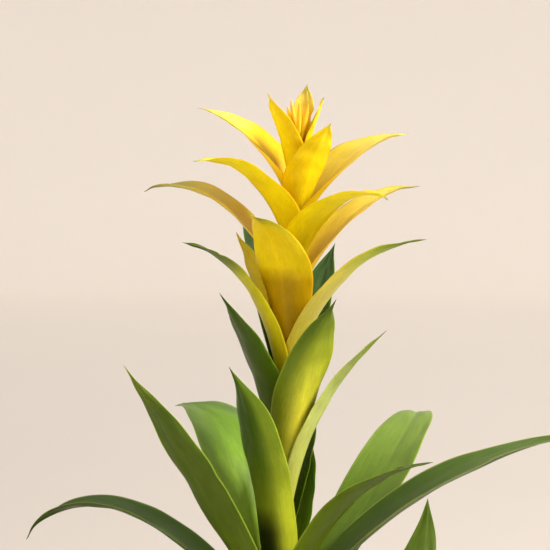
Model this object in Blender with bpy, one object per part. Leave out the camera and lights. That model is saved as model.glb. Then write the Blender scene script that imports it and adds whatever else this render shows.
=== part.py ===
"""A bromeliad (guzmania) in a plain pot, as one object for each piece: the pot, the potting mix, the flower
stalk, every leaf and bract, and the flower buds at the top.

The frame is in metres with +Z up. The origin is the middle of the pot's flat underside, and -Y is the front.
The plant is laid out round a straight stalk and then leans a little to the right.

A leaf wraps the stalk where it starts, on a surface of revolution about it, and opens into a free channel as
it arches away. Each leaf starts lower and lies outside the one before, so that they nest without touching.
"""

import math

import bmesh
import bpy
import numpy as np

MM = 0.001
GAP = 0.0003  # between pieces that touch

# Pot
POT_HEIGHT = 0.120
POT_RIM_RADIUS = 0.066
POT_FOOT_RADIUS = 0.050
POT_WALL = 0.0045
POT_FLOOR = 0.006
POT_LIP_DROP = 0.016  # height of the thicker band under the rim
POT_LIP_OUT = 0.0016
POT_SEGMENTS = 64
UNDERSIDE_RECESS = 0.0025
UNDERSIDE_RING = 0.008  # width of the ring that the pot stands on
UNDERSIDE_PAD_RADIUS = 0.015

# Potting mix
MIX_BELOW_RIM = 0.014
MIX_MOUND = 0.004
SOCKET_DEPTH = 0.022

# Flower stalk: (height above the mix, radius) from the stout crown to the tip, straight between
STALK = (
    (0.000, 0.0120),
    (0.030, 0.0120),
    (0.044, 0.0104),
    (0.060, 0.0082),
    (0.080, 0.0064),
    (0.140, 0.0058),
    (0.220, 0.0052),
    (0.300, 0.0044),
    (0.350, 0.0036),
    (0.372, 0.0030),
)
STALK_SIDES = 16

# Leaves
LEAN_RIGHT = 0.045  # how far the stalk leans, as a slope
LEAF_SIDES = 6  # faces across a leaf
LEAF_THICKNESS = 0.0010
BRACT_THICKNESS = 0.0008
MOST_WRAP = 2.2  # how far a base may wrap the stalk each way, in radians
NEST_RADIUS = 0.020  # a leaf nearer the axis than this lies on its surface of revolution
FREE_RADIUS = 0.055  # a leaf further out than this is a free channel
SUBSTEPS = 8

# Buds: (share of the length, share of the thickness)
BUD_SIDES = 8
BUD_SHAPE = ((0.0, 0.50), (0.2, 0.75), (0.5, 1.0), (0.75, 0.85), (0.92, 0.45), (1.0, 0.10))

COLOURS = {
    "pot": ((0.80, 0.77, 0.71), 0.55),
    "mix": ((0.10, 0.065, 0.040), 0.95),
    "stalk": ((0.30, 0.36, 0.06), 0.55),
    "leaf": ((0.12, 0.22, 0.03), 0.40),
    "scape": ((0.38, 0.42, 0.04), 0.42),
    "bract": ((0.85, 0.62, 0.02), 0.42),
    "bud": ((0.90, 0.55, 0.03), 0.45),
}

# Rows: base height above the mix, azimuth (0 right, 90 back), length and width in mm; then in degrees the
# lean from upright at the base and at the tip; the bend exponent (1 bends evenly, more bends late); then in
# degrees the turn to the left along the leaf, the twist, and the half angle of the free channel.
FLOWER_BRACTS = [
    (364, 72, 48, 20, 7, 14, 1.0, 0, 0, 40),
    (356, 5, 48, 16, 12, 17, 1.2, 0, 0, 55),
    (338, 212, 71, 32, 10, 28, 1.2, -8, 0, 55),
    (328, 155, 105, 44, 21, 80, 1.1, 0, 0, 42),
    (318, 298, 74, 38, 18, 37, 1.8, 20, 0, 45),
    (311, 25, 111, 43, 20, 87, 1.1, 0, 0, 38),
    (297, 210, 106, 44, 18, 98, 1.4, -10, 0, 48),
    (285, 318, 95, 46, 18, 108, 1.4, 20, 0, 48),
    (264, 25, 127, 40, 20, 90, 1.2, 0, 0, 38),
    (256, 162, 151, 38, 16, 104, 1.3, 0, 0, 42),
    (226, 253, 124, 56, 17, 74, 2.2, -20, 0, 50),
]
SCAPE_BRACTS = [
    (214, 335, 140, 36, 13, 85, 1.2, 0, 0, 45),
    (208, 150, 108, 38, 13, 35, 1.2, 0, 0, 48),
    (201, 195, 134, 34, 13, 80, 1.8, 0, 0, 45),
    (196, 120, 150, 34, 15, 52, 1.4, 0, 0, 48),
    (172, 58, 136, 36, 12, 36, 1.4, 0, 0, 48),
    (152, 50, 118, 34, 12, 26, 1.4, 0, 0, 48),
    (143, 208, 136, 48, 12, 36, 1.4, 0, 0, 45),
    (128, 295, 150, 56, 12, 38, 1.8, 10, 0, 45),
    (117, 345, 142, 34, 9, 50, 1.3, 0, 0, 55),
    (90, 60, 106, 32, 10, 24, 1.3, 0, 0, 48),
    (64, 242, 170, 54, 12, 38, 1.8, -20, 0, 48),
    (56, 50, 104, 34, 12, 10, 1.3, 0, 0, 48),
]
ROSETTE_LEAVES = [
    (51, 126, 197, 56, 19, 110, 2.0, 0, 0, 32),
    (46, 328, 162, 44, 18, 79, 1.3, 0, 0, 50),
    (41, 213, 220, 56, 28, 39, 1.0, 0, 18, 35),
    (36, 12, 268, 50, 37, 90, 1.1, 0, 0, 45),
    (32, 165, 214, 40, 47, 147, 2.4, 0, 0, 45),
    (28, 40, 276, 50, 43, 150, 3.6, 55, 0, 30),
    (24, 95, 210, 46, 56, 125, 1.3, 0, 0, 40),
    (21, 192, 236, 44, 49, 134, 1.3, 0, 0, 40),
    (18, 250, 200, 46, 58, 132, 1.3, 0, 0, 40),
    (15, 140, 215, 44, 62, 130, 1.3, 0, 0, 40),
    (12, 292, 196, 44, 66, 134, 1.3, 0, 0, 40),
    (10, 40, 220, 44, 68, 132, 1.3, 0, 0, 40),
    (7, 331, 188, 54, 84, -2, 1.0, -48, 0, 40),
]
# Buds: azimuth, then lean from upright in degrees, and length and thickness in mm
FLOWER_BUDS = [(205, 20, 25, 3.0), (262, 13, 27, 2.8), (322, 11, 26, 3.0), (145, 13, 29, 2.6)]


def material(name):
    colour, roughness = COLOURS[name]
    made = bpy.data.materials.new(name)
    made.use_nodes = True
    shader = made.node_tree.nodes["Principled BSDF"]
    shader.inputs["Base Color"].default_value = (*colour, 1.0)
    shader.inputs["Roughness"].default_value = roughness
    shader.inputs["Metallic"].default_value = 0.0
    return made


def add_object(name, mesh, finish):
    obj = bpy.data.objects.new(name, mesh)
    bpy.context.scene.collection.objects.link(obj)
    mesh.materials.append(finish)
    return obj


def turned(name, profile, finish, segments):
    """A closed body turned about Z from its half section, a list of (radius, height)."""
    mesh = bpy.data.meshes.new(name)
    edges = [(i, i + 1) for i in range(len(profile) - 1)]
    mesh.from_pydata([(r, 0.0, z) for r, z in profile], edges, [])
    obj = add_object(name, mesh, finish)
    screw = obj.modifiers.new("turn", "SCREW")
    screw.steps = segments
    screw.render_steps = segments
    screw.use_merge_vertices = True
    screw.merge_threshold = 0.00001
    screw.use_smooth_shade = True
    return obj


def arc(centre, radius, start, end, steps):
    """Points of a round corner in the half section, from one angle to the other in degrees."""
    angles = [math.radians(start + (end - start) * i / steps) for i in range(steps + 1)]
    return [(centre[0] + radius * math.cos(a), centre[1] + radius * math.sin(a)) for a in angles]


def pot_radius(height):
    """The pot's outer radius at a height, without the lip band."""
    return POT_FOOT_RADIUS + (POT_RIM_RADIUS - POT_FOOT_RADIUS) * height / POT_HEIGHT


def mix_height(radius):
    """The mix's surface: level at the wall, mounded towards the stalk."""
    inner = pot_radius(POT_HEIGHT - MIX_BELOW_RIM) - POT_WALL
    return POT_HEIGHT - MIX_BELOW_RIM + MIX_MOUND * (1 - (radius / inner) ** 2)


def build_pot(finish):
    lip = POT_WALL + POT_LIP_OUT
    lip_radius = 0.45 * lip
    lip_z = POT_HEIGHT - lip_radius
    outer = POT_RIM_RADIUS + POT_LIP_OUT
    band_z = POT_HEIGHT - POT_LIP_DROP
    band = pot_radius(band_z)
    foot = 0.0025
    ring_inner = POT_FOOT_RADIUS - UNDERSIDE_RING
    profile = [(0.0, POT_FLOOR), (POT_FOOT_RADIUS - POT_WALL - 2 * foot, POT_FLOOR)]
    corner_z = POT_FLOOR + 2 * foot
    profile += arc((pot_radius(corner_z) - POT_WALL - 2 * foot, corner_z), 2 * foot, -60, 0, 3)
    profile += [(pot_radius(lip_z) - POT_WALL, lip_z)]
    profile += arc((pot_radius(lip_z) - POT_WALL + lip_radius, lip_z), lip_radius, 150, 90, 2)
    profile += arc((outer - lip_radius, lip_z), lip_radius, 90, 0, 3)
    profile += [(band + POT_LIP_OUT, band_z + 0.0012), (band + 0.5 * POT_LIP_OUT, band_z + 0.0003)]
    profile += [(band, band_z - 0.0012)]
    profile += [(pot_radius(foot), foot)]
    profile += [(POT_FOOT_RADIUS - 0.3 * foot, 0.3 * foot), (POT_FOOT_RADIUS - foot, 0.0)]
    profile += [(ring_inner, 0.0), (ring_inner - 0.001, UNDERSIDE_RECESS)]
    profile += [(UNDERSIDE_PAD_RADIUS + 0.001, UNDERSIDE_RECESS), (UNDERSIDE_PAD_RADIUS, 0.0), (0.0, 0.0)]
    return turned("pot", profile, finish, POT_SEGMENTS)


def build_mix(finish):
    """The potting mix fills the pot and holds the crown in a socket."""
    top_z = POT_HEIGHT - MIX_BELOW_RIM
    wall = POT_WALL + GAP
    low = POT_FLOOR + GAP
    corner = 0.006
    outer_top = pot_radius(top_z) - wall
    outer_low = pot_radius(low + corner) - wall
    socket = STALK[0][1] + GAP
    socket_floor = mix_height(0) - SOCKET_DEPTH
    rings = [socket + (outer_top - socket) * share for share in (0.0, 0.3, 0.6, 0.85, 1.0)]
    profile = [(0.0, socket_floor), (socket, socket_floor)]
    profile += [(r, mix_height(r)) for r in rings]
    profile += [(outer_low, low + corner), (outer_low - 0.002, low + 0.002), (outer_low - corner, low)]
    profile += [(0.0, low)]
    return turned("potting_mix", profile, finish, 40)


def stalk_radius(height):
    """The stalk's radius at a height above the mix."""
    heights, radii = zip(*STALK)
    return float(np.interp(height, heights, radii))


def mix_top():
    """The height that the leaves' base heights are counted from."""
    return POT_HEIGHT - MIX_BELOW_RIM


def sway(points):
    """Leans points to the right in proportion to their height above the mix."""
    leaned = np.array(points, float)
    leaned[:, 0] += LEAN_RIGHT * np.maximum(leaned[:, 2] - mix_top(), 0.0)
    return leaned


def tube_mesh(name, rings):
    """A closed mesh through rings of equally many points, capped at the first and the last."""
    bm = bmesh.new()
    loops = [[bm.verts.new(p) for p in ring] for ring in rings]
    sides = len(loops[0])
    for low, high in zip(loops, loops[1:]):
        for i in range(sides):
            j = (i + 1) % sides
            bm.faces.new((low[i], low[j], high[j], high[i]))
    bm.faces.new(list(reversed(loops[0])))
    bm.faces.new(loops[-1])
    bmesh.ops.recalc_face_normals(bm, faces=bm.faces)
    mesh = bpy.data.meshes.new(name)
    bm.to_mesh(mesh)
    bm.free()
    return mesh


def circle(centre, radius, sides):
    """Points of a level circle."""
    turns = [2 * math.pi * i / sides for i in range(sides)]
    return [(centre[0] + radius * math.cos(a), centre[1] + radius * math.sin(a), centre[2]) for a in turns]


def build_stalk(finish):
    low = mix_height(0) - mix_top() - SOCKET_DEPTH + GAP
    profile = [(low, STALK[0][1]), *STALK]
    rings = [sway(circle((0, 0, mix_top() + height), radius, STALK_SIDES)) for height, radius in profile]
    mesh = tube_mesh("flower_stalk", rings)
    mesh.shade_smooth()
    return add_object("flower_stalk", mesh, finish)


def build_buds(finish):
    """Slim closed flower buds that stand in a ring on the tip of the stalk."""
    top, radius = STALK[-1]
    for number, (azimuth, lean, length, thickness) in enumerate(FLOWER_BUDS, start=1):
        azimuth, lean = math.radians(azimuth), math.radians(lean)
        x, y, z = 0.6 * radius * math.cos(azimuth), 0.6 * radius * math.sin(azimuth), mix_top() + top + GAP
        rings = []
        for share, swell in BUD_SHAPE:
            out = length * MM * share * math.sin(lean)
            centre = (x + out * math.cos(azimuth), y + out * math.sin(azimuth), z + length * MM * share * math.cos(lean))
            rings.append(sway(circle(centre, thickness * MM / 2 * swell, BUD_SIDES)))
        mesh = tube_mesh(f"flower_bud_{number}", rings)
        mesh.shade_smooth()
        add_object(f"flower_bud_{number}", mesh, finish)


def width_share(t):
    """A leaf's width along its length, as a share of its widest: a broad base, then a pointed tip."""
    widest = 0.42
    if t < widest:
        ease = t / widest
        return 0.80 + 0.20 * ease * ease * (3 - 2 * ease)
    x = (t - widest) / (1 - widest)
    return (1 - x**2.0) ** 1.2


def smooth(low, high, x):
    share = min(1.0, max(0.0, (x - low) / (high - low)))
    return share * share * (3 - 2 * share)


def leaf_spine(row, thickness, stations):
    """Points and directions along the middle of a leaf: (t, point, heading, lean) at each station."""
    base, azimuth, length, width, lean_0, lean_1, bend, sweep, _, _ = row
    start = stalk_radius(base * MM) + GAP + thickness / 2
    face = min(width * MM / 2 * width_share(0) / start, MOST_WRAP) / LEAF_SIDES
    start /= math.cos(face)  # so that the flat faces across the base clear the stalk
    azimuth = math.radians(azimuth)
    x, y, z = start * math.cos(azimuth), start * math.sin(azimuth), mix_top() + base * MM
    found = []
    steps = (stations - 1) * SUBSTEPS
    step = length * MM / steps
    for i in range(steps + 1):
        t = i / steps
        lean = math.radians(lean_0 + (lean_1 - lean_0) * t**bend)
        heading = azimuth + math.radians(sweep) * t**1.5
        if i % SUBSTEPS == 0:
            found.append((t, np.array((x, y, z)), heading, lean))
        x += step * math.sin(lean) * math.cos(heading)
        y += step * math.sin(lean) * math.sin(heading)
        z += step * math.cos(lean)
    return found


def leaf_grid(row, thickness, stations):
    """The leaf's middle surface and its upward normals: arrays of stations by points across."""
    _, _, _, width, _, _, _, _, twist, channel = row
    surface, normals = [], []
    for t, point, heading, lean in leaf_spine(row, thickness, stations):
        radius = math.hypot(point[0], point[1])
        around = math.atan2(point[1], point[0])
        half = min(width * MM / 2 * width_share(t), MOST_WRAP * radius)
        free = smooth(NEST_RADIUS, FREE_RADIUS, radius)
        roll = math.radians(twist) * free
        flat_out = np.array((math.cos(heading), math.sin(heading), 0.0))
        side = np.array((-math.sin(heading), math.cos(heading), 0.0))
        up = np.array((0.0, 0.0, 1.0))
        inward = math.sin(lean) * up - math.cos(lean) * flat_out
        across = math.cos(roll) * side + math.sin(roll) * inward
        over = math.cos(roll) * inward - math.sin(roll) * side
        bow = math.radians(channel) * (1 - 0.5 * t)
        points, faces_up = [], []
        for i in range(LEAF_SIDES + 1):
            share = 2 * i / LEAF_SIDES - 1
            turn = share * half / radius
            nested = np.array((radius * math.cos(around + turn), radius * math.sin(around + turn), point[2]))
            nested_up = np.array(
                (-math.cos(lean) * math.cos(around + turn), -math.cos(lean) * math.sin(around + turn), math.sin(lean))
            )
            curve = share * bow
            opened = point + half / bow * (math.sin(curve) * across + (1 - math.cos(curve)) * over)
            opened_up = math.cos(curve) * over - math.sin(curve) * across
            points.append((1 - free) * nested + free * opened)
            normal = (1 - free) * nested_up + free * opened_up
            faces_up.append(normal / np.linalg.norm(normal))
        surface.append(points)
        normals.append(faces_up)
    return np.array(surface), np.array(normals)


def leaf_mesh(name, row, thickness, stations):
    """A thin closed leaf: upper and under side meet at the margins, and the last ring closes on the tip."""
    surface, normals = leaf_grid(row, thickness, stations)
    shares = np.linspace(-1, 1, LEAF_SIDES + 1)
    across = thickness / 2 * (1 - shares**4)
    along = 1 - 0.6 * np.linspace(0, 1, stations) ** 3
    lift = (across[None, :] * along[:, None])[..., None] * normals
    upper, under = surface + lift, surface - lift
    bm = bmesh.new()
    rings = []
    for i in range(stations - 1):
        ring = [*under[i], *upper[i][-2:0:-1]]
        rings.append([bm.verts.new(p) for p in sway(ring)])
    tip = bm.verts.new(sway([surface[-1].mean(axis=0)])[0])
    sides = len(rings[0])
    for low, high in zip(rings, rings[1:]):
        for i in range(sides):
            j = (i + 1) % sides
            if i < LEAF_SIDES:  # both sides are split along matching diagonals, so that they can't cross
                bm.faces.new((low[i], low[j], high[j]))
                bm.faces.new((low[i], high[j], high[i]))
            else:
                bm.faces.new((low[i], low[j], high[i]))
                bm.faces.new((low[j], high[j], high[i]))
    for i in range(sides):
        bm.faces.new((rings[-1][i], rings[-1][(i + 1) % sides], tip))
    base = rings[0]
    for i in range(LEAF_SIDES):
        corners = [base[i], base[-i % sides], base[(-i - 1) % sides], base[i + 1]]
        kept = [v for n, v in enumerate(corners) if v not in corners[:n]]
        bm.faces.new(kept)
    bmesh.ops.recalc_face_normals(bm, faces=bm.faces)
    mesh = bpy.data.meshes.new(name)
    bm.to_mesh(mesh)
    bm.free()
    mesh.shade_smooth()
    return mesh


def build_leaves(prefix, rows, thickness, stations, finish):
    for number, row in enumerate(rows, start=1):
        name = f"{prefix}_{number:02d}"
        add_object(name, leaf_mesh(name, row, thickness, stations), finish)


def main():
    for obj in list(bpy.data.objects):
        bpy.data.objects.remove(obj, do_unlink=True)
    finishes = {name: material(name) for name in COLOURS}
    build_pot(finishes["pot"])
    build_mix(finishes["mix"])
    build_stalk(finishes["stalk"])
    build_buds(finishes["bud"])
    build_leaves("flower_bract", FLOWER_BRACTS, BRACT_THICKNESS, 11, finishes["bract"])
    build_leaves("scape_bract", SCAPE_BRACTS, BRACT_THICKNESS, 12, finishes["scape"])
    build_leaves("rosette_leaf", ROSETTE_LEAVES, LEAF_THICKNESS, 14, finishes["leaf"])


main()
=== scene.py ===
"""The looks of the potted bromeliad.

Each leaf's surface is drawn smoothly through its CAD node's own rings of points, then made wider or narrower
where its style says so, and given its margins, veins, colours, marks and dried tip. The buds, mix and pot
follow their CAD nodes, and the stalk keeps its CAD mesh.
"""

import math

import bmesh
import bpy
import numpy as np
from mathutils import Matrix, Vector, noise


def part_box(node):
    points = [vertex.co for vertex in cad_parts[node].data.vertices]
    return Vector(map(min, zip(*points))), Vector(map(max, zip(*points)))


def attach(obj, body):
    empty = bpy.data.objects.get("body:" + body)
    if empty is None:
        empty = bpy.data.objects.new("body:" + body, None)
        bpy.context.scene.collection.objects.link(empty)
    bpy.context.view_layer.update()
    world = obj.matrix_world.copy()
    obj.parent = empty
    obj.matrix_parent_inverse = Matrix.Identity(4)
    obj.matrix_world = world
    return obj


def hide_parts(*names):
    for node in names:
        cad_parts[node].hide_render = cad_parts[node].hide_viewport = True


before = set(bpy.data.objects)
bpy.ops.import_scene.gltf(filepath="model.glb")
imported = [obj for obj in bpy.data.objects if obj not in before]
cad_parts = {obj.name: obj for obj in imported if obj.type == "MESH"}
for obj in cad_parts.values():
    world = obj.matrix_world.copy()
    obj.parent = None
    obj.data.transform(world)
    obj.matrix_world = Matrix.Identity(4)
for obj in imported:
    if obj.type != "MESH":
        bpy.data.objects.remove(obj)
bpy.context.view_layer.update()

MM = 0.001
RING = 12  # points round a CAD leaf
STALK_TOP_LEAN = 0.045  # how far the stalk leans to the right, as a slope
PIGMENT = 0.84  # share of its painted colour that living tissue gives back

# The pot and mix, as the CAD has them
POT_FOOT_RADIUS = 0.050
POT_RIM_RADIUS = 0.066
POT_WALL = 0.0045
POT_FLOOR = 0.006
POT_CORNER = 0.005  # the round between wall and floor, inside
LIP_DROP = 0.016  # height of the band under the rim
LIP_ROUND = 0.0027
MIX_TOP = 0.106  # at the pot's wall
MIX_CROWN = 0.110  # at the stalk
MIX_RADIUS = 0.0593
CROWN_HOLE = 0.0122  # radius of the hole in the mix round the stalk's crown

# The view
VIEW_TARGET = (0.0, 0.0, 0.384)
VIEW_DISTANCE = 1.5
VIEW_RISE = 5  # degrees above the level
VIEW_WIDTH = 0.385  # width of the scene seen at the plant
SENSOR_WIDTH = 36


# Colours and shaders


def linear(colour):
    """Linear values of 8-bit screen colours, in an array of any shape."""
    c = np.asarray(colour, float) / 255
    return np.where(c > 0.04045, ((c + 0.055) / 1.055) ** 2.4, c / 12.92)


def screen(red, green, blue):
    """One screen colour as three linear numbers for a socket."""
    return tuple(linear((red, green, blue)))


def smooth(low, high, x):
    share = np.clip((np.asarray(x, float) - low) / (high - low), 0, 1)
    return share * share * (3 - 2 * share)


def ramp(stops, at):
    """Colours between (place, colour) stops, as an array one longer in shape than the places."""
    places = [place for place, _ in stops]
    colours = np.array([colour for _, colour in stops], float)
    return np.stack([np.interp(at, places, colours[:, i]) for i in range(3)], axis=-1)


class Nodes:
    """Short names for building one material's nodes."""

    def __init__(self, name):
        self.material = bpy.data.materials.new(name)
        self.material.use_nodes = True
        self.tree = self.material.node_tree
        self.shader = self.tree.nodes["Principled BSDF"]

    def coordinates(self):
        """Places on the object in metres, and their heights."""
        at = self.new("ShaderNodeTexCoord").outputs["Object"]
        parts = self.new("ShaderNodeSeparateXYZ")
        self.link(at, parts.inputs[0])
        return at, parts.outputs["Z"]

    def new(self, kind, values=(), **settings):
        node = self.tree.nodes.new(kind)
        for key, value in settings.items():
            setattr(node, key, value)
        for key, value in dict(values).items():
            node.inputs[key].default_value = value
        return node

    def link(self, source, target):
        self.tree.links.new(source, target)

    def math(self, operation, one, other=None):
        node = self.new("ShaderNodeMath", operation=operation)
        for socket, value in zip(node.inputs, (one, other)):
            if value is None:
                continue
            if isinstance(value, (int, float)):
                socket.default_value = value
            else:
                self.link(value, socket)
        return node.outputs[0]

    def spread(self, value, low, high, to_low, to_high):
        values = {"From Min": low, "From Max": high, "To Min": to_low, "To Max": to_high}
        node = self.new("ShaderNodeMapRange", values)
        self.link(value, node.inputs["Value"])
        return node.outputs["Result"]

    def noise(self, coordinates, scale, detail=3.0, roughness=0.5):
        values = {"Scale": scale, "Detail": detail, "Roughness": roughness}
        node = self.new("ShaderNodeTexNoise", values)
        self.link(coordinates, node.inputs["Vector"])
        return node.outputs["Fac"]

    def scaled(self, coordinates, factors):
        node = self.new("ShaderNodeVectorMath", operation="MULTIPLY")
        self.link(coordinates, node.inputs[0])
        node.inputs[1].default_value = factors
        return node.outputs[0]

    def times(self, colour, factor):
        """A colour made lighter or darker by a number from nodes."""
        node = self.new("ShaderNodeVectorMath", operation="SCALE")
        self.link(colour, node.inputs[0])
        self.link(factor, node.inputs["Scale"])
        return node.outputs[0]

    def mix(self, factor, one, other):
        node = self.new("ShaderNodeMix", data_type="RGBA")
        self.link(factor, node.inputs["Factor"])
        for key, value in (("A", one), ("B", other)):
            socket = [s for s in node.inputs if s.name == key and s.type == "RGBA"][0]
            if isinstance(value, tuple):
                socket.default_value = (*value, 1.0)
            else:
                self.link(value, socket)
        return [s for s in node.outputs if s.type == "RGBA"][0]

    def bump(self, height, distance, strength=1.0, under=None):
        node = self.new("ShaderNodeBump", {"Strength": strength, "Distance": distance})
        self.link(height, node.inputs["Height"])
        if under is not None:
            self.link(under, node.inputs["Normal"])
        return node.outputs["Normal"]

    def set(self, **values):
        for key, value in values.items():
            self.shader.inputs[key.replace("_", " ")].default_value = value


def leaf_material(name, veins, gloss, glow, glow_colour, contrast):
    """Living leaf tissue: painted colour, fine lengthwise veins, a waxy skin and light through the blade."""
    n = Nodes(name)
    paint = n.new("ShaderNodeAttribute", attribute_name="paint").outputs["Color"]
    place = n.new("ShaderNodeAttribute", attribute_name="blade").outputs["Vector"]
    at = n.new("ShaderNodeTexCoord").outputs["Object"]
    # Streaks follow the blade: many across it, and slow along it
    coarse = n.noise(n.scaled(place, (veins * 0.5, 1.6, 4.0)), 1.0, 2.0, 0.6)
    fine = n.noise(n.scaled(place, (veins * 2.2, 5.0, 4.0)), 1.0, 2.0, 0.5)
    cloud = n.noise(at, 55.0, 3.0, 0.55)
    speck = n.noise(at, 900.0, 2.0, 0.6)
    streaks = n.math("MULTIPLY", n.spread(coarse, 0.3, 0.7, 1 - contrast, 1 + contrast),
                     n.spread(fine, 0.3, 0.7, 1 - 0.6 * contrast, 1 + 0.6 * contrast))
    clouds = n.math("MULTIPLY", n.spread(cloud, 0.3, 0.7, 0.93, 1.07), n.spread(speck, 0.3, 0.7, 0.97, 1.03))
    n.link(n.times(paint, n.math("MULTIPLY", streaks, clouds)), n.shader.inputs["Base Color"])
    dullness = n.spread(n.math("ADD", cloud, fine), 0.7, 1.3, gloss - 0.05, gloss + 0.08)
    n.link(dullness, n.shader.inputs["Roughness"])
    ridges = n.bump(n.math("ADD", coarse, fine), 0.00022, 0.55)
    n.link(n.bump(speck, 0.00008, 0.35, ridges), n.shader.inputs["Normal"])
    n.set(Subsurface_Weight=glow, Subsurface_Radius=glow_colour, Subsurface_Scale=0.0022, IOR=1.4,
          Coat_Weight=0.05, Coat_Roughness=0.30)
    n.shader.inputs["Specular IOR Level"].default_value = 0.17
    return n.material


# Leaves


def welded(obj):
    """A CAD node's points, with those at one place joined, and its triangles."""
    mesh = obj.data
    points = np.empty(len(mesh.vertices) * 3, np.float32)
    mesh.vertices.foreach_get("co", points)
    points = points.reshape(-1, 3).astype(float)
    keys = np.round(points * 1e6).astype(np.int64)
    _, first, joined = np.unique(keys, axis=0, return_index=True, return_inverse=True)
    mesh.calc_loop_triangles()
    corners = np.empty(len(mesh.loop_triangles) * 3, np.int32)
    mesh.loop_triangles.foreach_get("vertices", corners)
    return points[first], joined.reshape(-1)[corners].reshape(-1, 3)


def rings_from_tip(obj):
    """The tip point of a CAD leaf, and its rings of points in order round the blade, from the tip down."""
    points, faces = welded(obj)
    near = [set() for _ in points]
    for face in faces:
        for i in range(3):
            near[face[i]].update((face[i - 1], face[i - 2]))
    tip = max(range(len(points)), key=lambda i: len(near[i]))
    layer = {tip: 0}
    front = [tip]
    while front:
        found = []
        for i in front:
            for j in near[i]:
                if j not in layer:
                    layer[j] = layer[i] + 1
                    found.append(j)
        front = found
    beside = {i: set() for i in layer}
    for face in faces:
        for i in range(3):
            a, b, c = face[i], face[i - 1], face[i - 2]
            if layer[a] == layer[b] != layer[c]:
                beside[a].add(b)
                beside[b].add(a)
    rings = []
    for level in range(1, max(layer.values()) + 1):
        start = min(i for i in layer if layer[i] == level)
        ring, last = [start], None
        while len(ring) < RING:
            onward = [i for i in sorted(beside[ring[-1]]) if i != last]
            last = ring[-1]
            ring.append(onward[0])
        rings.append(points[ring])
    return points[tip], rings


def two_sides(ring, start, way):
    """A ring as two rows of points from margin to margin."""
    turn = ring[[(start + way * i) % RING for i in range(RING)]]
    half = RING // 2
    return turn[: half + 1], turn[[0, *range(RING - 1, half - 1, -1)]]


def blade_sections(obj):
    """A CAD leaf's upper and under rows of points from its base to its last ring, and its tip."""
    tip, rings = rings_from_tip(obj)
    rings = rings[::-1]
    half = RING // 2
    base = rings[0]
    thin = [np.linalg.norm(np.subtract(*two_sides(base, start, 1)), axis=1).sum() for start in range(half)]
    one, other = two_sides(base, int(np.argmin(thin)), 1)
    axis = np.array((STALK_TOP_LEAN * max(base[:, 2].mean() - MIX_TOP, 0), 0.0))
    if np.linalg.norm(one[:, :2] - axis, axis=1).mean() > np.linalg.norm(other[:, :2] - axis, axis=1).mean():
        one, other = other, one
    across = one[-1] - one[0]
    along = rings[1].mean(axis=0) - base.mean(axis=0)
    if np.dot(np.cross(across, along), (one - other)[half // 2]) < 0:
        one, other = one[::-1], other[::-1]
    upper, under = [one], [other]
    for ring in rings[1:]:
        best = None
        shift = ring.mean(axis=0) - np.vstack([upper[-1], under[-1]]).mean(axis=0)
        for start in range(RING):
            for way in (1, -1):
                a, b = two_sides(ring, start, way)
                error = ((a - upper[-1] - shift) ** 2).sum() + ((b - under[-1] - shift) ** 2).sum()
                if best is None or error < best[0]:
                    best = (error, a, b)
        upper.append(best[1])
        under.append(best[2])
    return np.array(upper), np.array(under), tip


def spline(knots, at):
    """Values of a smooth curve through evenly spaced knots, at places from 0 to 1."""
    n = len(knots) - 1
    flat = np.asarray(knots, float).reshape(n + 1, -1)
    system, right = np.eye(n + 1), np.zeros_like(flat)
    for i in range(1, n):
        system[i, i - 1 : i + 2] = (1, 4, 1)
        right[i] = 6 * (flat[i - 1] - 2 * flat[i] + flat[i + 1])
    bend = np.linalg.solve(system, right)
    place = np.clip(at, 0, 1) * n
    low = np.minimum(place.astype(int), n - 1)
    s = (place - low)[:, None]
    values = (1 - s) * flat[low] + s * flat[low + 1]
    values += ((1 - s) ** 3 - (1 - s)) * bend[low] / 6 + (s**3 - s) * bend[low + 1] / 6
    return values.reshape(len(at), *np.shape(knots)[1:])


def unit(vectors):
    return vectors / np.maximum(np.linalg.norm(vectors, axis=-1, keepdims=True), 1e-12)


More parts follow.
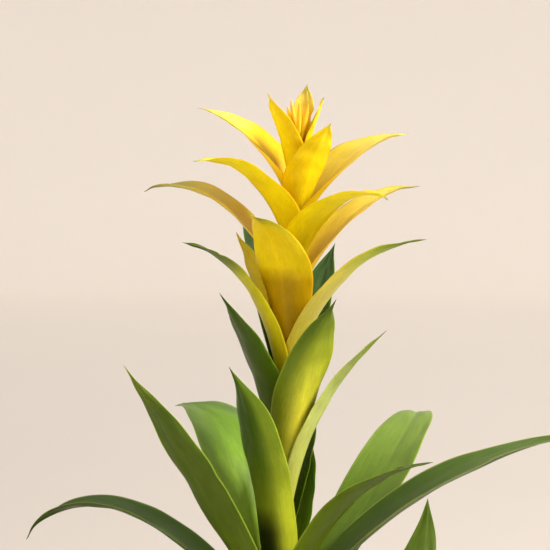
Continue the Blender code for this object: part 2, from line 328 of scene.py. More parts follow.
def blade_surface(name, style):
    """A leaf's finely drawn middle surface, its normals and half thickness, and each point's (u, v) place."""
    upper, under, tip = blade_sections(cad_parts[name])
    middle = (upper + under) / 2
    knots = np.concatenate([middle, np.repeat(tip[None, None], middle.shape[1], axis=1)])
    width = np.linalg.norm(middle[:, -1] - middle[:, 0], axis=1).max()
    length = np.linalg.norm(np.diff(knots[:, RING // 4], axis=0), axis=1).sum()
    rows = int(length / (1.5 * MM))
    columns = 2 * int(max(width, 30 * MM) / (3.2 * MM)) + 2
    v = np.linspace(0, 1, rows + 1)
    u = np.linspace(-1, 1, columns + 1)
    surface = spline(knots, v)
    surface = spline(surface.transpose(1, 0, 2), (u + 1) / 2).transpose(1, 0, 2)
    grid_u, grid_v = np.meshgrid(u, v)
    rib = surface[:, columns // 2][:, None]
    # The tip: a narrow drawn-out point
    slim = 1 - style["slim"] * smooth(0.84, 1.0, grid_v)
    slim += style["full"] * smooth(0.55, 0.85, grid_v) * (1 - smooth(0.90, 1.0, grid_v))
    slim += style["wide"] * smooth(0.05, 0.4, grid_v)
    surface = rib + (surface - rib) * slim[..., None]
    for place, side, depth, spread in style["notches"]:
        bite = depth * np.exp(-(((grid_v - place) / spread) ** 2)) * (grid_u * side > 0) * grid_u**2
        surface = rib + (surface - rib) * (1 - bite)[..., None]
    normals = blade_normals(surface)
    # Waves in the margins, a soft groove and slight unevenness, all fading out where leaves nest
    free = smooth(0.30, 0.55, grid_v) * (1 - smooth(0.93, 1.0, grid_v))
    seed = style["seed"]
    phase = np.where(grid_u > 0, seed * 1.7, seed * 2.9 + 2.0)
    waves = np.sin(2 * math.pi * style["waves"] * grid_v + phase) + 0.5 * np.sin(
        2 * math.pi * 2.3 * style["waves"] * grid_v + 2 * phase)
    lift = style["wave"] * MM * waves * np.abs(grid_u) ** 2.5
    lift -= style["groove"] * MM * np.exp(-((grid_u / 0.13) ** 2))
    uneven = np.array([[noise.noise(Vector((2.2 * a, 9 * b, seed * 3.1))) for a, b in zip(*row)]
                       for row in zip(grid_u, grid_v)])
    lift += 0.9 * MM * uneven * style["lumps"]
    surface = surface + (lift * free)[..., None] * normals
    # The dried end curls
    curl = style["curl"] * MM * smooth(0.93, 1.0, grid_v) ** 1.5
    surface = surface + curl[..., None] * normals
    normals = blade_normals(surface)
    thick = np.linalg.norm(upper - under, axis=2)[:, RING // 4]
    half = 0.5 * np.interp(v, np.linspace(0, 1, len(thick) + 1), [*thick, 0.4 * thick[-1]])
    half = half[:, None] * (1 - 0.8 * np.abs(u) ** 3)[None]
    return surface, normals, half, grid_u, grid_v


def blade_normals(surface):
    along = np.gradient(surface, axis=0)
    across = np.gradient(surface, axis=1)
    along[-1] = along[-2]
    across[-1] = across[-2]
    return unit(np.cross(across, along))


def paint_blade(style, u, v, upper):
    """Screen colours over one side of a leaf."""
    colours = ramp(style["upper" if upper else "under"], v)
    seed = style["seed"]
    if style["right"] is not None:  # a different colour towards one margin
        stops, side, start, full = style["right"]
        share = smooth(start, full, u * side)
        colours = colours + share[..., None] * (ramp(stops, v) - colours)
    edge, strength, thin = style["edge"]
    share = strength * smooth(1 - thin, 1.0, np.abs(u)) * smooth(0.1, 0.3, v)
    colours = colours + share[..., None] * (np.array(edge, float) - colours)
    rib = style["rib"] * np.exp(-((u / 0.07) ** 2)) * (1 - smooth(0.75, 0.95, v))
    colours = colours * (1 + rib)[..., None]
    dry, start = style["dry"]
    ragged = start + 0.02 * np.sin(9 * u + seed)
    share = smooth(0, 1, (v - ragged) / np.maximum(1 - ragged, 1e-6) * 1.4)
    colours = colours + share[..., None] * (np.array(dry, float) - colours)
    for place, side, size_u, size_v, colour, strength in style["marks"]:
        share = strength * np.exp(-(((u - side) / size_u) ** 2) - ((v - place) / size_v) ** 2)
        colours = colours + share[..., None] * (np.array(colour, float) - colours)
    return np.clip(colours, 0, 255)


def build_blade(name, style, material, slot):
    """A closed leaf: upper and under sides that meet at the margins and the tip."""
    surface, normals, half, u, v = blade_surface(name, style)
    lift = half[..., None] * normals
    rows, columns = u.shape
    sides = []
    points, blade, paint = [], [], []
    for sign in (1, -1):
        sides.append(len(points))
        points.extend((surface + sign * lift)[:-1].reshape(-1, 3))
        seeds = np.full_like(u, 0.4 * sign + style["seed"])
        blade.extend(np.stack([u, v * 10, seeds], axis=-1)[:-1].reshape(-1, 3))
        paint.extend(PIGMENT * linear(paint_blade(style, u, v, sign > 0))[:-1].reshape(-1, 3))
    tip = len(points)
    points.append(surface[-1, columns // 2])
    blade.append((0.0, 10.0, style["seed"]))
    paint.append(PIGMENT * linear(np.array(style["dry"][0], float)))
    faces = []
    for first, flip in zip(sides, (False, True)):
        for i in range(rows - 2):
            for j in range(columns - 1):
                a = first + i * columns + j
                quad = (a, a + 1, a + 1 + columns, a + columns)
                faces.append(quad[::-1] if flip else quad)
        for j in range(columns - 1):
            a = first + (rows - 2) * columns + j
            faces.append((a + 1, a, tip) if flip else (a, a + 1, tip))
    top, low = sides
    for j, flip in ((0, False), (columns - 1, True)):  # the margins
        for i in range(rows - 2):
            a, b = top + i * columns + j, low + i * columns + j
            quad = (a, a + columns, b + columns, b)
            faces.append(quad[::-1] if flip else quad)
        a, b = top + (rows - 2) * columns + j, low + (rows - 2) * columns + j
        faces.append((b, a, tip) if flip else (a, tip, b))
    for j in range(columns - 1):  # the base
        faces.append((top + j + 1, top + j, low + j, low + j + 1))
    mesh = bpy.data.meshes.new(name + "_look")
    mesh.from_pydata([tuple(p) for p in points], [], faces)
    places = mesh.attributes.new("blade", "FLOAT_VECTOR", "POINT")
    places.data.foreach_set("vector", np.array(blade, float).ravel())
    colours = np.column_stack([np.array(paint), np.ones(len(paint))])
    mesh.attributes.new("paint", "FLOAT_COLOR", "POINT").data.foreach_set("color", colours.ravel())
    mesh.shade_smooth()
    mesh.materials.append(material)
    obj = bpy.data.objects.new(name + "_look", mesh)
    bpy.context.scene.collection.objects.link(obj)
    place_piece(obj, slot, name)


def place_piece(obj, slot, *nodes):
    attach(obj, "root")
    if nodes:
        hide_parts(*nodes)


# How each leaf looks. Colours are screen colours at places from the base (0) to the tip (1). "wide" is the
# share added to the CAD leaf's width past its base, "full" the share added near the tip, and "slim" the share
# taken off at the tip. "edge" is a margin's (colour, strength, width), and "dry" a tip's (colour, start).

YELLOW = [(0.0, (222, 196, 16)), (0.35, (252, 232, 18)), (0.7, (255, 236, 28)), (1.0, (240, 220, 56))]
GOLD = [(0.0, (214, 186, 10)), (0.35, (246, 222, 12)), (0.7, (252, 228, 20)), (1.0, (238, 212, 46))]
GREEN = [(0.0, (160, 168, 34)), (0.25, (112, 136, 22)), (0.6, (82, 106, 16)), (1.0, (72, 94, 18))]
DEEP = [(0.0, (140, 150, 34)), (0.25, (96, 118, 16)), (0.6, (70, 92, 12)), (1.0, (60, 80, 12))]
SHADE = [(0.0, (144, 161, 61)), (0.5, (86, 117, 63)), (1.0, (76, 105, 66))]
ORANGE, LIME, DRY, DARK = (248, 178, 30), (196, 206, 70), (150, 130, 76), (62, 58, 36)

PLAIN = {
    "slim": 0.35, "full": 0.0, "wide": 0.0, "notches": (), "waves": 2.2, "wave": 0.5, "groove": 0.3,
    "lumps": 1.0, "curl": 0.0, "right": None, "rib": 0.05, "marks": (),
}
BRACT = {
    **PLAIN, "upper": YELLOW, "under": GOLD, "edge": (ORANGE, 0.55, 0.12), "dry": (DRY, 0.955), "full": 0.1,
}
SCAPE = {
    **PLAIN, "upper": GREEN, "under": GREEN, "edge": (LIME, 0.45, 0.08), "dry": (DARK, 0.975), "full": 0.15,
}
LEAF = {
    **PLAIN, "upper": GREEN, "under": DEEP, "edge": (LIME, 0.45, 0.05), "dry": ((110, 100, 50), 0.985),
    "waves": 1.6, "wave": 0.9, "groove": 0.5, "lumps": 1.6, "slim": 0.15,
}

# The second margin's colours: (stops, which margin, where they start, where they are full). In a leaf at the
# front, margin +1 is at the left.
STYLES = {
    "flower_bract_01": {
        "upper": [(0.0, (226, 168, 20)), (0.5, (240, 196, 52)), (0.8, (236, 208, 84)), (1.0, (190, 186, 80))],
        "dry": ((150, 158, 70), 0.95)},
    "flower_bract_02": {"dry": ((130, 140, 60), 0.93), "edge": (ORANGE, 0.8, 0.2), "wide": 0.35},
    "flower_bract_03": {
        "dry": (DARK, 0.97),
        "right": ([(0.0, (232, 190, 4)), (1.0, (240, 202, 8))], -1, 0.1, 0.9)},
    "flower_bract_04": {
        "upper": [(0.0, (222, 178, 16)), (0.45, (236, 196, 22)), (0.58, (240, 200, 34)),
                  (0.66, (250, 236, 84)),
                  (0.85, (250, 240, 96)), (1.0, (226, 222, 110))],
        "edge": (ORANGE, 0.7, 0.16), "dry": (DRY, 0.955),
        "marks": ((0.30, 0.2, 0.12, 0.012, (196, 150, 60), 0.6),)},
    "flower_bract_05": {
        "right": ([(0.0, (230, 196, 4)), (1.0, (246, 210, 10))], 1, -0.3, 0.7), "dry": (DARK, 0.97),
        "under": [(0.0, (226, 200, 18)), (0.4, (246, 222, 22)), (1.0, (250, 222, 32))]},
    "flower_bract_06": {
        "under": [(0.0, (240, 208, 16)), (0.4, (244, 214, 30)), (0.75, (232, 204, 80)),
                  (1.0, (236, 222, 120))],
        "upper": [(0.0, (226, 186, 16)), (0.4, (232, 196, 40)), (0.75, (228, 200, 80)),
                  (1.0, (230, 214, 110))],
        "edge": (ORANGE, 0.6, 0.12), "dry": ((176, 164, 96), 0.95), "slim": 0.45, "wide": 0.3},
    "flower_bract_07": {
        "upper": [(0.0, (224, 184, 12)), (0.6, (244, 212, 22)), (0.85, (238, 214, 50)),
                  (0.95, (190, 196, 90)),
                  (1.0, (160, 168, 92))],
        "dry": ((150, 150, 84), 0.955), "full": 0.45},
    "flower_bract_08": {
        "dry": ((96, 84, 46), 0.955), "curl": -2.0,
        "upper": [(0.0, (232, 200, 14)), (0.5, (246, 216, 24)), (0.85, (238, 210, 50)),
                  (1.0, (190, 180, 70))]},
    "flower_bract_09": {
        "upper": [(0.0, (226, 184, 18)), (0.5, (236, 204, 50)), (0.75, (230, 206, 90)),
                  (0.88, (196, 196, 84)),
                  (1.0, (140, 150, 60))],
        "under": [(0.0, (226, 188, 18)), (0.5, (238, 204, 40)), (0.75, (232, 206, 76)),
                  (0.88, (196, 196, 84)),
                  (1.0, (140, 150, 60))],
        "edge": (ORANGE, 0.75, 0.16), "dry": ((120, 118, 60), 0.95), "slim": 0.6},
    "flower_bract_10": {
        "upper": [(0.0, (216, 172, 24)), (0.4, (230, 188, 44)), (0.7, (222, 192, 84)), (0.86, (186, 184, 96)),
                  (0.95, (140, 150, 84)), (1.0, (110, 122, 70))],
        "under": [(0.0, (230, 192, 14)), (0.4, (246, 212, 34)), (0.7, (226, 202, 70)), (0.86, (180, 180, 84)),
                  (1.0, (104, 112, 64))],
        "edge": (ORANGE, 0.7, 0.14), "dry": (DARK, 0.965), "full": 0.8, "curl": -2.5},
    "flower_bract_11": {
        # The dark brownish yellow of the under side up to 0.42, with the sharp step to yellow above it, is a
        # painted shadow on the bract's lower part.
        "under": [(0.0, (168, 132, 6)), (0.42, (188, 152, 6)), (0.52, (240, 212, 14)), (0.9, (238, 208, 28)),
                  (1.0, (214, 200, 60))],
        "dry": ((176, 168, 130), 0.975), "full": 0.0, "wide": -0.15,
        "marks": ((0.93, -0.55, 0.5, 0.07, (132, 146, 50), 0.75),
                  (0.84, -0.95, 0.3, 0.10, (150, 158, 44), 0.6))},
    "scape_bract_01": {
        "under": [(0.0, (250, 222, 50)), (0.3, (255, 238, 100)), (0.55, (240, 230, 96)),
                  (0.72, (190, 200, 60)),
                  (0.86, (122, 142, 34)), (1.0, (92, 108, 30))],
        "upper": [(0.0, (250, 226, 50)), (0.3, (255, 240, 100)), (0.55, (236, 228, 90)),
                  (0.72, (180, 194, 54)),
                  (0.86, (112, 134, 28)), (1.0, (86, 100, 26))],
        "edge": ((240, 190, 40), 0.4, 0.12), "slim": 0.5},
    "scape_bract_02": {"upper": YELLOW, "under": GOLD, "edge": (ORANGE, 0.5, 0.12), "dry": (DRY, 0.97)},
    "scape_bract_03": {
        "upper": [(0.0, (240, 212, 20)), (0.4, (255, 240, 56)), (0.62, (232, 226, 50)),
                  (0.74, (134, 152, 26)),
                  (0.88, (84, 106, 18)), (1.0, (66, 84, 20))],
        "under": [(0.0, (226, 194, 14)), (0.4, (240, 220, 30)), (0.62, (210, 204, 34)),
                  (0.74, (116, 128, 22)),
                  (0.88, (74, 88, 16)), (1.0, (58, 66, 18))],
        "edge": ((230, 220, 60), 0.4, 0.10), "dry": (DARK, 0.97), "full": 0.5,
        "notches": ((0.80, -1, 0.25, 0.015),)},
    "scape_bract_04": {"upper": SHADE, "under": SHADE},
    "scape_bract_05": {"upper": SHADE, "under": SHADE},
    "scape_bract_06": {"upper": SHADE, "under": SHADE},
    "scape_bract_07": {
        "upper": DEEP, "under": [(0.0, (120, 134, 20)), (0.4, (74, 94, 10)), (1.0, (62, 82, 10))],
        "notches": ((0.84, 1, 0.16, 0.012),), "edge": (LIME, 0.35, 0.06), "dry": (DARK, 0.99)},
    "scape_bract_08": {
        "under": [(0.0, (226, 214, 52)), (0.4, (226, 218, 62)), (0.62, (190, 196, 50)),
                  (0.78, (136, 152, 32)),
                  (1.0, (84, 106, 22))],
        # The dark green towards the left margin, with the yellow kept on the right, is partly the bract's own
        # colours and partly painted shade and light: shade on the side away from the light, light through the
        # lit side.
        "right": ([(0.0, (160, 164, 30)), (0.5, (120, 136, 26)), (0.8, (84, 106, 20)), (1.0, (70, 92, 20))],
                  1, -0.1, 0.9),
        "notches": ((0.93, -1, 0.3, 0.012),), "edge": (LIME, 0.5, 0.06), "full": 0.1, "wide": -0.2},
    "scape_bract_09": {
        "under": [(0.0, (214, 216, 90)), (0.5, (206, 216, 120)), (1.0, (130, 150, 60))],
        "upper": [(0.0, (110, 130, 30)), (0.5, (72, 98, 20)), (1.0, (62, 86, 20))],
        "right": ([(0.0, (110, 126, 26)), (1.0, (66, 90, 18))], -1, -0.1, 0.25), "groove": 1.2},
    "scape_bract_10": {"upper": DEEP, "under": DEEP},
    "scape_bract_11": {
        # The near-black base of the under side, up to about 0.2, is painted shade where the bract's base sits
        # deep in the rosette.
        "under": [(0.0, (30, 32, 4)), (0.2, (38, 42, 6)), (0.32, (118, 130, 18)), (0.5, (80, 102, 10)),
                  (0.7, (62, 86, 8)),
                  (1.0, (66, 88, 14))],
        # The bright yellow-green towards the right margin is partly the bract's own colour and partly painted
        # light on its side facing the light.
        "right": ([(0.0, (214, 216, 50)), (0.3, (196, 204, 48)), (0.6, (140, 158, 36)),
                   (1.0, (110, 136, 40))],
                  -1, -0.05, 0.6),
        "edge": (LIME, 0.45, 0.05), "full": 0.25, "wide": -0.28, "notches": ((0.955, 1, 0.3, 0.010),),
        "marks": ((0.12, -0.35, 0.05, 0.006, (120, 50, 20), 0.8),)},
    "scape_bract_12": {
        "upper": [(0.0, (190, 206, 60)), (0.5, (120, 146, 36)), (1.0, (78, 104, 24))],
        "under": [(0.0, (190, 206, 60)), (0.5, (120, 146, 36)), (1.0, (78, 104, 24))]},
    "rosette_leaf_01": {
        "upper": [(0.0, (176, 200, 50)), (0.35, (150, 184, 50)), (0.6, (116, 150, 44)), (1.0, (90, 118, 44))],
        # The greyish blue-green towards the right margin is a painted sheen.
        "right": ([(0.0, (120, 140, 90)), (1.0, (104, 126, 78))], 1, 0.5, 1.0), "wide": 0.3},
    "rosette_leaf_02": {
        "under": [(0.0, (150, 166, 40)), (0.4, (112, 134, 28)), (1.0, (76, 96, 18))],
        "upper": [(0.0, (130, 150, 40)), (0.4, (84, 106, 24)), (1.0, (72, 92, 22))]},
    "rosette_leaf_03": {
        "under": [(0.0, (126, 142, 34)), (0.4, (86, 106, 24)), (0.8, (84, 104, 26)), (0.94, (120, 136, 40)),
                  (1.0, (150, 160, 60))],
        "upper": [(0.0, (130, 150, 40)), (0.6, (96, 124, 34)), (1.0, (130, 150, 50))],
        # The strong lime margins are partly the leaf's own light margin and partly a painted highlight along
        # its lit margin.
        "edge": (LIME, 0.7, 0.05), "notches": ((0.52, -1, 0.06, 0.03),), "dry": ((176, 176, 90), 0.985),
        "wide": -0.36},
    "rosette_leaf_04": {
        "under": [(0.0, (110, 128, 36)), (0.3, (76, 96, 26)), (0.8, (64, 86, 30)), (1.0, (84, 98, 36))],
        "upper": [(0.0, (76, 96, 18)), (0.35, (58, 78, 18)), (0.7, (80, 102, 40)), (1.0, (80, 100, 40))],
        "edge": (LIME, 0.6, 0.04)},
    "rosette_leaf_05": {
        # The upper side's colour is the leaf's green with a painted greyish blue sheen on it.
        "upper": [(0.0, (110, 136, 60)), (0.5, (84, 108, 50)), (1.0, (86, 104, 56))],
        "full": 0.3,
        "dry": ((150, 130, 80), 0.97), "curl": -3.0},
    "rosette_leaf_06": {
        # The darker lower part of the upper side, up to 0.4, is a painted shadow cast by the leaf beside it.
        "upper": [(0.0, (96, 118, 34)), (0.4, (92, 116, 32)), (0.62, (118, 142, 54)), (1.0, (116, 140, 56))],
        "under": [(0.0, (120, 142, 50)), (0.5, (112, 134, 50)), (1.0, (112, 132, 50))]},
    "rosette_leaf_11": {"wave": 0.0, "lumps": 0.0},
    "rosette_leaf_13": {
        "upper": [(0.0, (140, 160, 50)), (0.6, (90, 114, 26)), (1.0, (84, 106, 26))],
        "under": [(0.0, (140, 160, 50)), (0.6, (86, 110, 24)), (1.0, (80, 102, 24))]},
}


def style_of(name):
    kind = {"flower": BRACT, "scape_": SCAPE, "rosett": LEAF}[name[:6]]
    number = int(name[-2:])
    style = {**kind, **STYLES.get(name, {})}
    style["seed"] = number + {"flower": 0.0, "scape_": 20.0, "rosett": 40.0}[name[:6]]
    return style


def build_leaves():
    yellow = leaf_material("bract_skin", 26, 0.42, 0.30, (1.0, 0.86, 0.08), 0.06)
    green = leaf_material("scape_skin", 26, 0.38, 0.22, (0.60, 1.0, 0.10), 0.08)
    strap = leaf_material("strap_skin", 34, 0.36, 0.16, (0.55, 1.0, 0.12), 0.10)
    for name in sorted(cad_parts):
        if name.startswith("flower_bract"):
            build_blade(name, style_of(name), yellow, "bract")
        elif name.startswith("scape_bract"):
            build_blade(name, style_of(name), green, "scape")
        elif name.startswith("rosette_leaf"):
            build_blade(name, style_of(name), strap, "leaf")


# Buds, stalk, mix and pot


def finish_mesh(name, bm, material):
    bmesh.ops.recalc_face_normals(bm, faces=bm.faces)
    mesh = bpy.data.meshes.new(name)
    bm.to_mesh(mesh)
    bm.free()
    mesh.shade_smooth()
    mesh.materials.append(material)
    obj = bpy.data.objects.new(name, mesh)
    bpy.context.scene.collection.objects.link(obj)
    return obj


def circle(radius, steps):
    """Points round a level circle about Z, as (x, y)."""
    turns = [2 * math.pi * i / steps for i in range(steps)]
    return [(radius * math.cos(a), radius * math.sin(a)) for a in turns]


def bridge(bm, rings):
    """Faces between each ring of points and the next; a ring on the axis has one point many times."""
    for low, high in zip(rings, rings[1:]):
        for i in range(len(low)):
            j = (i + 1) % len(low)
            corners = []
            for vertex in (low[i], low[j], high[j], high[i]):
                if vertex not in corners:
                    corners.append(vertex)
            bm.faces.new(corners)


def lathe(name, profile, steps, material):
    """A surface turned about Z from (radius, height) points; points on the axis are one vertex."""
    bm = bmesh.new()
    rings = []
    for r, z in profile:
        if r < 1e-6:
            rings.append([bm.verts.new((0, 0, z))] * steps)
        else:
            rings.append([bm.verts.new((x, y, z)) for x, y in circle(r, steps)])
    bridge(bm, rings)
    return finish_mesh(name, bm, material)


def build_bud(number, material):
    """A closed flower: petals wrapped round each other into a soft spiral point."""
    name = f"flower_bud_{number}"
    points, _ = welded(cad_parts[name])
    order = np.argsort(points[:, 2])
    foot, head = points[order[:8]].mean(axis=0), points[order[-8:]].mean(axis=0)
    along = unit(head - foot)
    side = unit(np.cross(along, (0.0, 1.0, 0.3)))
    other = np.cross(along, side)
    rows, columns, radius = 26, 24, 1.6 * MM
    shares = np.linspace(0, 1, rows)
    swell = np.interp(shares, (0, 0.2, 0.5, 0.75, 0.9, 0.97, 1), (0.5, 0.78, 1.0, 0.86, 0.52, 0.28, 0.10))
    bm = bmesh.new()
    rings = []
    for share, size in zip(shares, swell):
        ring = []
        for i in range(columns):
            a = 2 * math.pi * i / columns
            petal = 1 + 0.10 * abs(math.sin(1.5 * a + 1.4 * share + number))
            outward = math.cos(a) * side + math.sin(a) * other
            ring.append(bm.verts.new(foot + share * (head - foot) + radius * size * petal * outward))
        rings.append(ring)
    bridge(bm, rings)
    bm.faces.new(rings[0])
    bm.faces.new(rings[-1])
    obj = finish_mesh(name + "_look", bm, material)
    place_piece(obj, "bud", name)


def bud_material():
    n = Nodes("bud_petal")
    at, z = n.coordinates()
    low, high = (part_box("flower_bud_1")[i].z for i in (0, 1))
    height = n.spread(z, low, high, 0.0, 1.0)
    petal = n.mix(height, screen(252, 226, 40), screen(240, 178, 24))
    streak = n.noise(n.scaled(at, (900.0, 900.0, 90.0)), 1.0, 2.0)
    n.link(n.times(petal, n.spread(streak, 0.3, 0.7, 0.90, 1.04)), n.shader.inputs["Base Color"])
    n.link(n.spread(streak, 0.3, 0.7, 0.42, 0.55), n.shader.inputs["Roughness"])
    n.link(n.bump(streak, 0.0002, 0.5), n.shader.inputs["Normal"])
    n.set(Subsurface_Weight=0.3, Subsurface_Radius=(1.0, 0.7, 0.1), Subsurface_Scale=0.002)
    return n.material


def dress_stalk():
    n = Nodes("stalk_skin")
    at, z = n.coordinates()
    height = n.spread(z, 0.12, 0.46, 0.0, 1.0)
    skin = n.mix(height, screen(132, 146, 60), screen(214, 190, 30))
    fibre = n.noise(n.scaled(at, (1400.0, 1400.0, 40.0)), 1.0, 3.0)
    n.link(n.times(skin, n.spread(fibre, 0.3, 0.7, 0.82, 1.08)), n.shader.inputs["Base Color"])
    n.link(n.spread(fibre, 0.3, 0.7, 0.45, 0.62), n.shader.inputs["Roughness"])
    n.link(n.bump(fibre, 0.0003, 0.6), n.shader.inputs["Normal"])
    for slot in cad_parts["flower_stalk"].material_slots:
        slot.link = "OBJECT"
        slot.material = n.material


def soil_material(name, dark, light, scale):
    n = Nodes(name)
    at = n.new("ShaderNodeTexCoord").outputs["Object"]
    crumbs = n.noise(at, scale, 5.0, 0.7)
    fine = n.noise(at, scale * 5, 3.0, 0.6)
    colour = n.mix(n.spread(crumbs, 0.35, 0.68, 0.0, 1.0), screen(*dark), screen(*light))
    n.link(colour, n.shader.inputs["Base Color"])
    n.link(n.spread(fine, 0.3, 0.7, 0.78, 0.98), n.shader.inputs["Roughness"])
    n.link(n.bump(fine, 0.0006, 0.8, n.bump(crumbs, 0.0012, 0.7)), n.shader.inputs["Normal"])
    n.shader.inputs["Specular IOR Level"].default_value = 0.25
    return n.material


def mix_surface(radius, angle):
    """Height of the crumbly surface: the CAD mix's mound, with crumbs on it."""
    mound = MIX_CROWN - (MIX_CROWN - MIX_TOP) * (radius / MIX_RADIUS) ** 2
    place = Vector((radius * math.cos(angle), radius * math.sin(angle), 0))
    lumps = 1.3 * noise.noise(place * 130) + 0.8 * noise.noise(place * 380) + 0.35 * noise.noise(place * 900)
    return mound - 0.7 * MM + lumps * MM


def build_mix(rng):
    low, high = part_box("potting_mix")
    bm = bmesh.new()
    steps, rows = 180, 46
    rings = []
    gap = 0.4 * MM  # between the mix and the pot's wall
    for r in np.linspace(CROWN_HOLE, high.x - gap, rows + 1):
        rings.append([bm.verts.new((x, y, mix_surface(r, math.atan2(y, x)))) for x, y in circle(r, steps)])
    lower = ((0.0477, 0.020), (0.0420, low.z), (CROWN_HOLE, low.z))  # down inside the pot, and under the mix
    for r, z in lower:
        rings.append([bm.verts.new((x, y, z)) for x, y in circle(r, steps)])
    rings.append(rings[0])
    bridge(bm, rings)
    peat = soil_material("peat", (34, 22, 14), (82, 58, 38), 420.0)
    bark = soil_material("bark", (58, 36, 22), (124, 86, 54), 240.0)
    perlite = soil_material("perlite", (206, 200, 190), (236, 232, 224), 500.0)
    place_piece(finish_mesh("potting_mix_look", bm, peat), "mix", "potting_mix")
    scatter("bark_chips", rng, 300, (1.6, 4.2), 0.42, bark)
    scatter("perlite_grains", rng, 85, (0.8, 1.7), 0.85, perlite)


def scatter(name, rng, count, sizes, flatness, material):
    """Loose broken bits that lie on the mix, half sunk in it. Sizes are in millimetres."""
    inner, reach = 0.0150, 0.0395  # where the bits start, and how far out from there they lie
    bm = bmesh.new()
    for _ in range(count):
        r = inner + reach * math.sqrt(rng.random())
        a = 2 * math.pi * rng.random()
        size = rng.uniform(*sizes) * MM
        turn, tilt = 2 * math.pi * rng.random(), rng.normal(0, 0.25)
        shape = bmesh.ops.create_icosphere(bm, subdivisions=2, radius=1.0)["verts"]
        for vertex in shape:
            p = np.array(vertex.co) * (1 + 0.28 * noise.noise(vertex.co * 1.6 + Vector((r * 900, a * 7, 0))))
            p *= size * np.array((1.0, 0.62, flatness * 0.62))
            p[2] += math.sin(tilt) * p[0]
            x = math.cos(turn) * p[0] - math.sin(turn) * p[1]
            y = math.sin(turn) * p[0] + math.cos(turn) * p[1]
            z = mix_surface(r, a) + 0.25 * size * flatness + p[2]
            vertex.co = (r * math.cos(a) + x, r * math.sin(a) + y, z)
    obj = finish_mesh(name, bm, material)
    place_piece(obj, "mix")


def pot_material():
    """Matte stoneware glaze: faint throwing rings, small iron specks and a bare foot."""
    n = Nodes("stoneware")
    at, z = n.coordinates()
    cloud = n.noise(at, 28.0, 4.0, 0.55)
    grain = n.noise(at, 1500.0, 2.0, 0.5)
    specks = n.spread(n.noise(at, 620.0, 1.0, 0.4), 0.71, 0.74, 0.0, 0.75)
    rings = n.noise(n.scaled(at, (6.0, 6.0, 520.0)), 1.0, 2.0, 0.5)
    clouded = n.spread(cloud, 0.35, 0.65, 0.0, 1.0)
    glaze = n.mix(clouded, screen(222, 214, 200), screen(234, 228, 217))
    glaze = n.mix(specks, glaze, screen(134, 110, 84))
    bare = n.spread(n.math("ADD", z, n.math("MULTIPLY", cloud, 0.002)), 0.0042, 0.0050, 1.0, 0.0)
    n.link(n.mix(bare, glaze, screen(196, 176, 150)), n.shader.inputs["Base Color"])
    dullness = n.math("ADD", n.spread(cloud, 0.3, 0.7, 0.44, 0.56), n.math("MULTIPLY", bare, 0.3))
    n.link(dullness, n.shader.inputs["Roughness"])
    n.link(n.bump(grain, 0.0001, 0.4, n.bump(rings, 0.0005, 0.5)), n.shader.inputs["Normal"])
    n.shader.inputs["Specular IOR Level"].default_value = 0.4
    return n.material


def pot_side(z, height):
    """Radius of the pot's outside at a height, without its lip."""
    return POT_FOOT_RADIUS + (POT_RIM_RADIUS - POT_FOOT_RADIUS) * z / height


def build_pot():
    """The CAD pot's half section, with finer rounds."""
    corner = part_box("pot")[1]
    height, outer = corner.z, corner.x
    band = height - LIP_DROP
    quarter = math.pi / 2
    # The inside, from the middle of the floor up to the rim
    profile = [(0.0, POT_FLOOR), (0.036, POT_FLOOR)]
    bend = POT_FLOOR + POT_CORNER
    middle = pot_side(bend, height) - POT_WALL - POT_CORNER
    for a in np.linspace(0.15, quarter, 8):
        profile.append((middle + POT_CORNER * math.sin(a), bend - POT_CORNER * math.cos(a)))
    for z in np.linspace(0.02, height - 0.004, 12):
        profile.append((pot_side(z, height) - POT_WALL, z))
    # The rounded lip
    inner = pot_side(height - 0.003, height) - POT_WALL + LIP_ROUND
    for a in np.linspace(0.1, quarter, 8):
        profile.append((inner - LIP_ROUND * math.cos(a), height - LIP_ROUND + LIP_ROUND * math.sin(a)))
    outer -= LIP_ROUND
    for a in np.linspace(0, quarter, 9):
        profile.append((outer + LIP_ROUND * math.sin(a), height - LIP_ROUND + LIP_ROUND * math.cos(a)))
    # The band's lower edge, as steps out from the side and up from the band's foot, in millimetres
    for out, up in ((1.6, 1.4), (1.4, 0.6), (0.8, 0.0), (0.2, -0.4), (0.0, -1.4)):
        profile.append((pot_side(band, height) + out * MM, band + up * MM))
    for z in np.linspace(band - 0.004, 0.0026, 14):
        profile.append((pot_side(z, height), z))
    # The foot ring, the recess under the pot and its flat pad, as steps in from the foot and up
    for into, up in ((0.4, 1.0), (1.2, 0.3), (2.5, 0.0), (8.0, 0.0), (8.6, 0.8), (9.0, 2.5)):
        profile.append((POT_FOOT_RADIUS - into * MM, up * MM))
    profile += [(0.016, 0.0025), (0.0154, 0.0008), (0.015, 0.0), (0.0, 0.0)]
    place_piece(lathe("pot_look", profile, 192, pot_material()), "pot", "pot")


# Stage, lights and camera


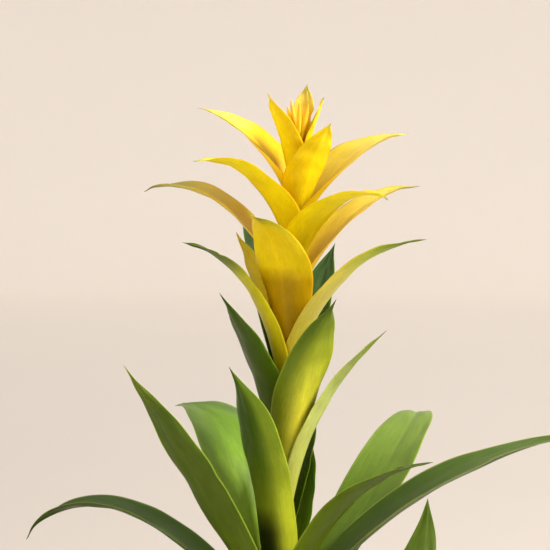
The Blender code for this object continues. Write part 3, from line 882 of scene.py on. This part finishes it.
def build_stage():
    """A round paper backdrop that curves up from the floor, so that every side has the same plain ground,
    with painted shade on the floor near the plant.
    """
    n = Nodes("backdrop_paper")
    at, z = n.coordinates()
    height = n.spread(z, 0.0, 0.9, 0.0, 1.0)
    reach = n.new("ShaderNodeVectorMath", operation="LENGTH")
    n.link(at, reach.inputs[0])
    # The floor paper is darker near the plant and lighter far out: painted shade round the plant.
    far = n.spread(reach.outputs["Value"], 0.7, 3.8, 0.0, 1.0)
    shaded_floor_paper = n.mix(far, screen(203, 194, 185), screen(246, 238, 229))
    paper = n.mix(height, shaded_floor_paper, screen(239, 232, 225))
    cloud = n.spread(n.noise(at, 3.0, 4.0), 0.3, 0.7, 0.995, 1.005)
    n.link(n.times(paper, cloud), n.shader.inputs["Base Color"])
    n.set(Roughness=0.9)
    n.shader.inputs["Specular IOR Level"].default_value = 0.1
    floor, bend, wall = 3.6, 1.4, 4.5
    profile = [(0.0, 0.0)] + [(r, 0.0) for r in (0.5, 1.2, 2.4)]
    for i in range(25):
        a = math.pi / 2 * i / 24
        profile.append((floor + bend * math.sin(a), bend * (1 - math.cos(a))))
    profile.append((floor + bend, wall))
    lathe("backdrop", profile, 128, n.material)


def add_area(name, place, target, size, power, colour):
    data = bpy.data.lights.new(name, "AREA")
    data.shape = "RECTANGLE"
    data.size, data.size_y = size
    data.energy = power
    data.color = colour
    lamp = bpy.data.objects.new(name, data)
    lamp.location = place
    lamp.rotation_euler = (Vector(target) - Vector(place)).to_track_quat("-Z", "Y").to_euler()
    lamp.visible_camera = False
    bpy.context.scene.collection.objects.link(lamp)


def build_lights():
    middle = (0.0, 0.0, 0.38)
    add_area("key", (1.35, -0.55, 1.65), middle, (0.5, 0.5), 62, (1.0, 0.98, 0.95))
    add_area("fill", (-1.1, -1.9, 1.0), middle, (1.3, 1.3), 13, (1.0, 0.99, 0.97))
    add_area("ground", (1.2, 1.2, 2.6), (1.6, 5.0, 1.6), (1.2, 1.2), 22, (1.0, 0.98, 0.96))
    world = bpy.data.worlds.new("room")
    world.use_nodes = True
    world.node_tree.nodes["Background"].inputs["Color"].default_value = (1.0, 0.985, 0.965, 1.0)
    world.node_tree.nodes["Background"].inputs["Strength"].default_value = 0.78
    bpy.context.scene.world = world


def build_camera():
    data = bpy.data.cameras.new("camera")
    data.sensor_width = SENSOR_WIDTH
    data.lens = SENSOR_WIDTH * VIEW_DISTANCE / VIEW_WIDTH
    data.clip_end = 50
    camera = bpy.data.objects.new("camera", data)
    rise = math.radians(VIEW_RISE)
    back = Vector((0, -math.cos(rise), math.sin(rise)))
    camera.location = Vector(VIEW_TARGET) + VIEW_DISTANCE * back
    camera.rotation_euler = (-back).to_track_quat("-Z", "Y").to_euler()
    bpy.context.scene.collection.objects.link(camera)
    bpy.context.scene.camera = camera


build_leaves()
petal = bud_material()
for number in range(1, 5):
    build_bud(number, petal)
dress_stalk()
build_mix(np.random.default_rng(7))
build_pot()
build_stage()
build_lights()
build_camera()
bpy.context.scene.view_settings.view_transform = "Standard"
